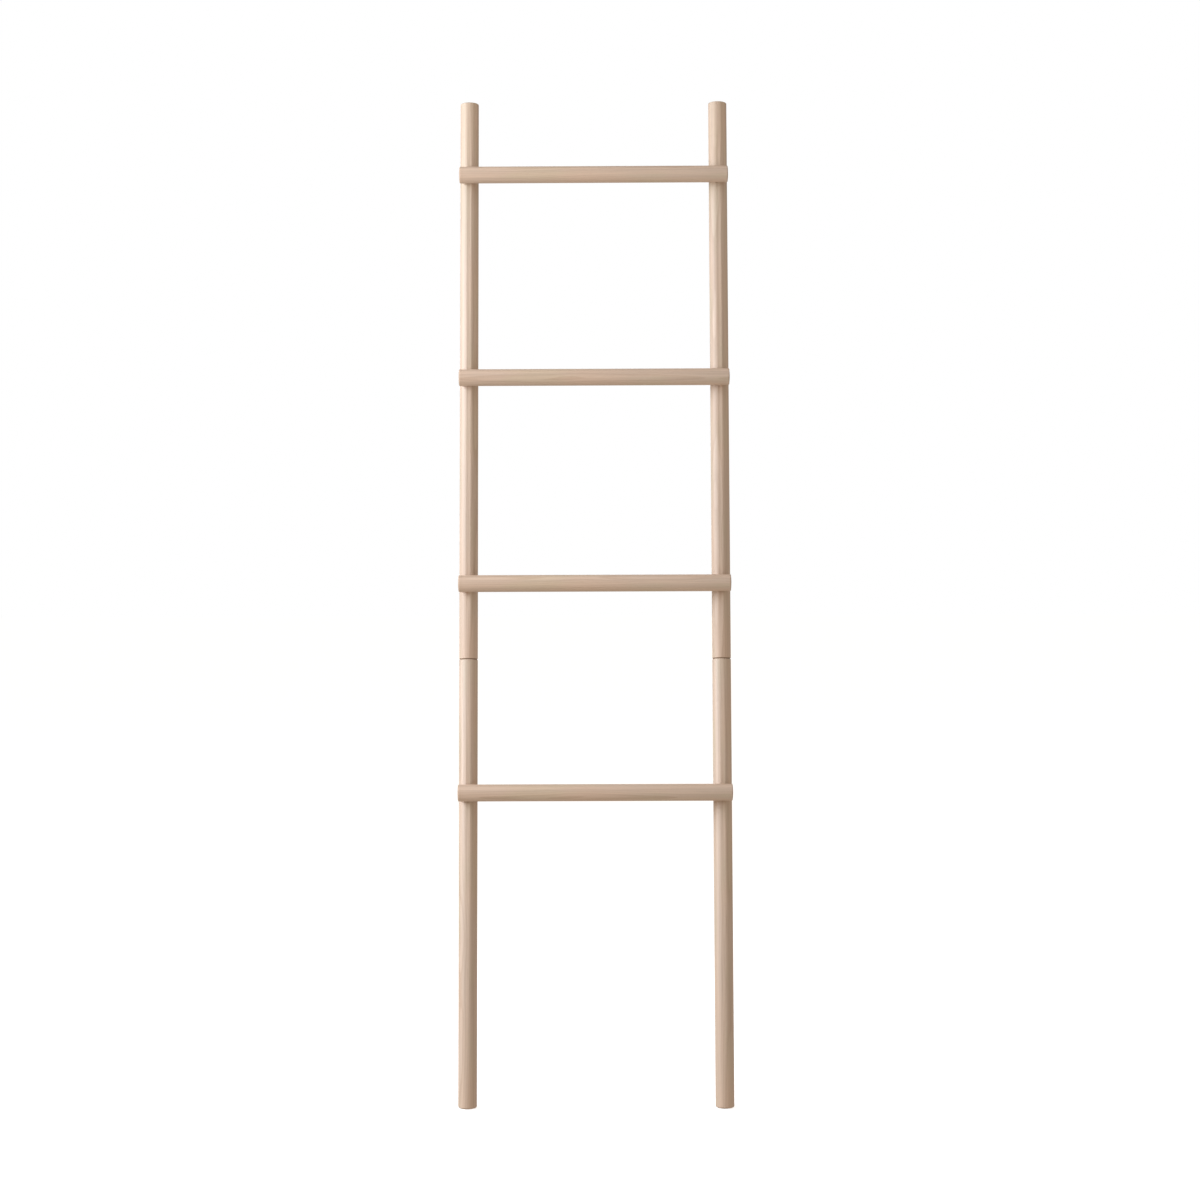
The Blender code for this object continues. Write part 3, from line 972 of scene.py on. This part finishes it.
def makeRubber():
    rubber = rubberFor("greyRubber", rubberLook)
    for side, x in sides.items():
        tag = side.lower()
        place, mesh = Matrix.Translation(foot + across * x), padMesh(padLook)
        node = "foot_pad_" + tag
        settle("footPad" + side, mesh, place, rubber, lowerBody, "grey_rubber", node)
        place, mesh = railPlace(x, railTop - bumperDrop) @ facingWall, bumperMesh(bumperLook)
        node = "wall_bumper_" + tag
        settle("wallBumper" + side, mesh, place, rubber, upperBody, "grey_rubber", node)
    print("pads and bumpers made")


makeRubber()

studio = {
    "cameraSpot": (0.042, -4.823, 0.960),
    "cameraTurn": (0.88, -0.39, -0.22),  # degrees down, to the right and of roll
    "lens": 81.15,
    "sensor": 36.0,
    "farthest": 300.0,
    "backdrop": 1.0,
    "skyColour": (1.12, 1.00, 0.89, 1.0),
    "skyLight": 0.38,  # from above the floor's level
    "bounceColour": (1.10, 1.00, 0.90, 1.0),
    "bounceLight": 0.55,  # what a white floor throws back up
    "horizonBlend": 0.25,
    "floorSize": 80.0,
    "floorDrop": 0.0002,  # just clear of the feet
    "floorColour": (0.93, 0.93, 0.93, 1),
    "floorRoughness": 0.9,
    "floorGlow": 0.68,
}

# turn is degrees round to the left from the front, rise is degrees above the aim
softboxes = {
    "key": {
        "aim": (0.0, 0.0, 0.95), "turn": 68.0, "rise": 17.0, "reach": 3.0,
        "size": (1.5, 2.0), "power": 99.0, "colour": (0.92, 1.00, 1.12),
    },
    "top": {
        "aim": (0.0, 0.0, 1.10), "turn": 5.0, "rise": 65.0, "reach": 2.6,
        "size": (2.0, 1.6), "power": 8.5, "colour": (0.95, 1.00, 1.07),
    },
}


def makeSoftbox(name, look):
    lamp = bpy.data.lights.new(name + "Softbox", "AREA")
    lamp.shape = "RECTANGLE"
    lamp.size, lamp.size_y = look["size"]
    lamp.energy = look["power"]
    lamp.color = look["colour"]
    turn, rise = math.radians(look["turn"]), math.radians(look["rise"])
    level = math.cos(rise)
    away = Vector((-math.sin(turn) * level, -math.cos(turn) * level, math.sin(rise)))
    made = bpy.data.objects.new(name + "Softbox", lamp)
    made.location = Vector(look["aim"]) + away * look["reach"]
    made.rotation_euler = (-away).to_track_quat("-Z", "Y").to_euler()
    bpy.context.scene.collection.objects.link(made)


# white where the camera sees it, and a softer light from all round for the rack
def makeBackdrop(look):
    world = bpy.data.worlds.new("paleStudio")
    world.use_nodes = True
    tree = world.node_tree
    tree.nodes.clear()
    toward = addNode(tree, "ShaderNodeTexCoord").outputs["Generated"]
    height = addNode(tree, "ShaderNodeSeparateXYZ", {0: toward}).outputs["Z"]
    above = rampTo(tree, height, -look["horizonBlend"], look["horizonBlend"])
    sky, bounce, seen = (
        addNode(tree, "ShaderNodeBackground", {"Color": colour, "Strength": strength}).outputs[0]
        for colour, strength in (
            (look["skyColour"], look["skyLight"]),
            (look["bounceColour"], look["bounceLight"]),
            ((1, 1, 1, 1), look["backdrop"]),
        )
    )
    around = addNode(tree, "ShaderNodeMixShader", {0: above, 1: bounce, 2: sky}).outputs[0]
    ray = addNode(tree, "ShaderNodeLightPath").outputs["Is Camera Ray"]
    mixed = addNode(tree, "ShaderNodeMixShader", {0: ray, 1: around, 2: seen}).outputs[0]
    addNode(tree, "ShaderNodeOutputWorld", {"Surface": mixed})
    bpy.context.scene.world = world


def makeFloor(look):
    bpy.ops.mesh.primitive_plane_add(size=look["floorSize"], location=(0, 0, -look["floorDrop"]))
    floor = bpy.context.object
    floor.name = "studioFloor"
    material, _, shader = newMaterial("paleFloor")
    shader.inputs["Base Color"].default_value = look["floorColour"]
    shader.inputs["Roughness"].default_value = look["floorRoughness"]
    shader.inputs["Specular IOR Level"].default_value = 0.0
    shader.inputs["Emission Color"].default_value = (1, 1, 1, 1)
    shader.inputs["Emission Strength"].default_value = look["floorGlow"]
    floor.data.materials.append(material)
    floor.visible_diffuse = False
    floor.visible_glossy = False


def makeCamera(look):
    lens = bpy.data.cameras.new("studioCamera")
    lens.lens = look["lens"]
    lens.sensor_width = look["sensor"]
    lens.clip_end = look["farthest"]
    camera = bpy.data.objects.new("studioCamera", lens)
    down, right, roll = (math.radians(angle) for angle in look["cameraTurn"])
    aim = Euler((math.pi / 2 - down, 0, -right)).to_matrix().to_4x4()
    spot = Matrix.Translation(look["cameraSpot"])
    camera.matrix_world = spot @ aim @ Matrix.Rotation(roll, 4, "Z")
    bpy.context.scene.collection.objects.link(camera)
    bpy.context.scene.camera = camera


def makeStudio(look, boxes):
    makeBackdrop(look)
    makeFloor(look)
    for name, box in boxes.items():
        makeSoftbox(name, box)
    makeCamera(look)
    bpy.context.scene.view_settings.view_transform = "Standard"
    print("studio made")


makeStudio(studio, softboxes)

bpy.context.view_layer.update()
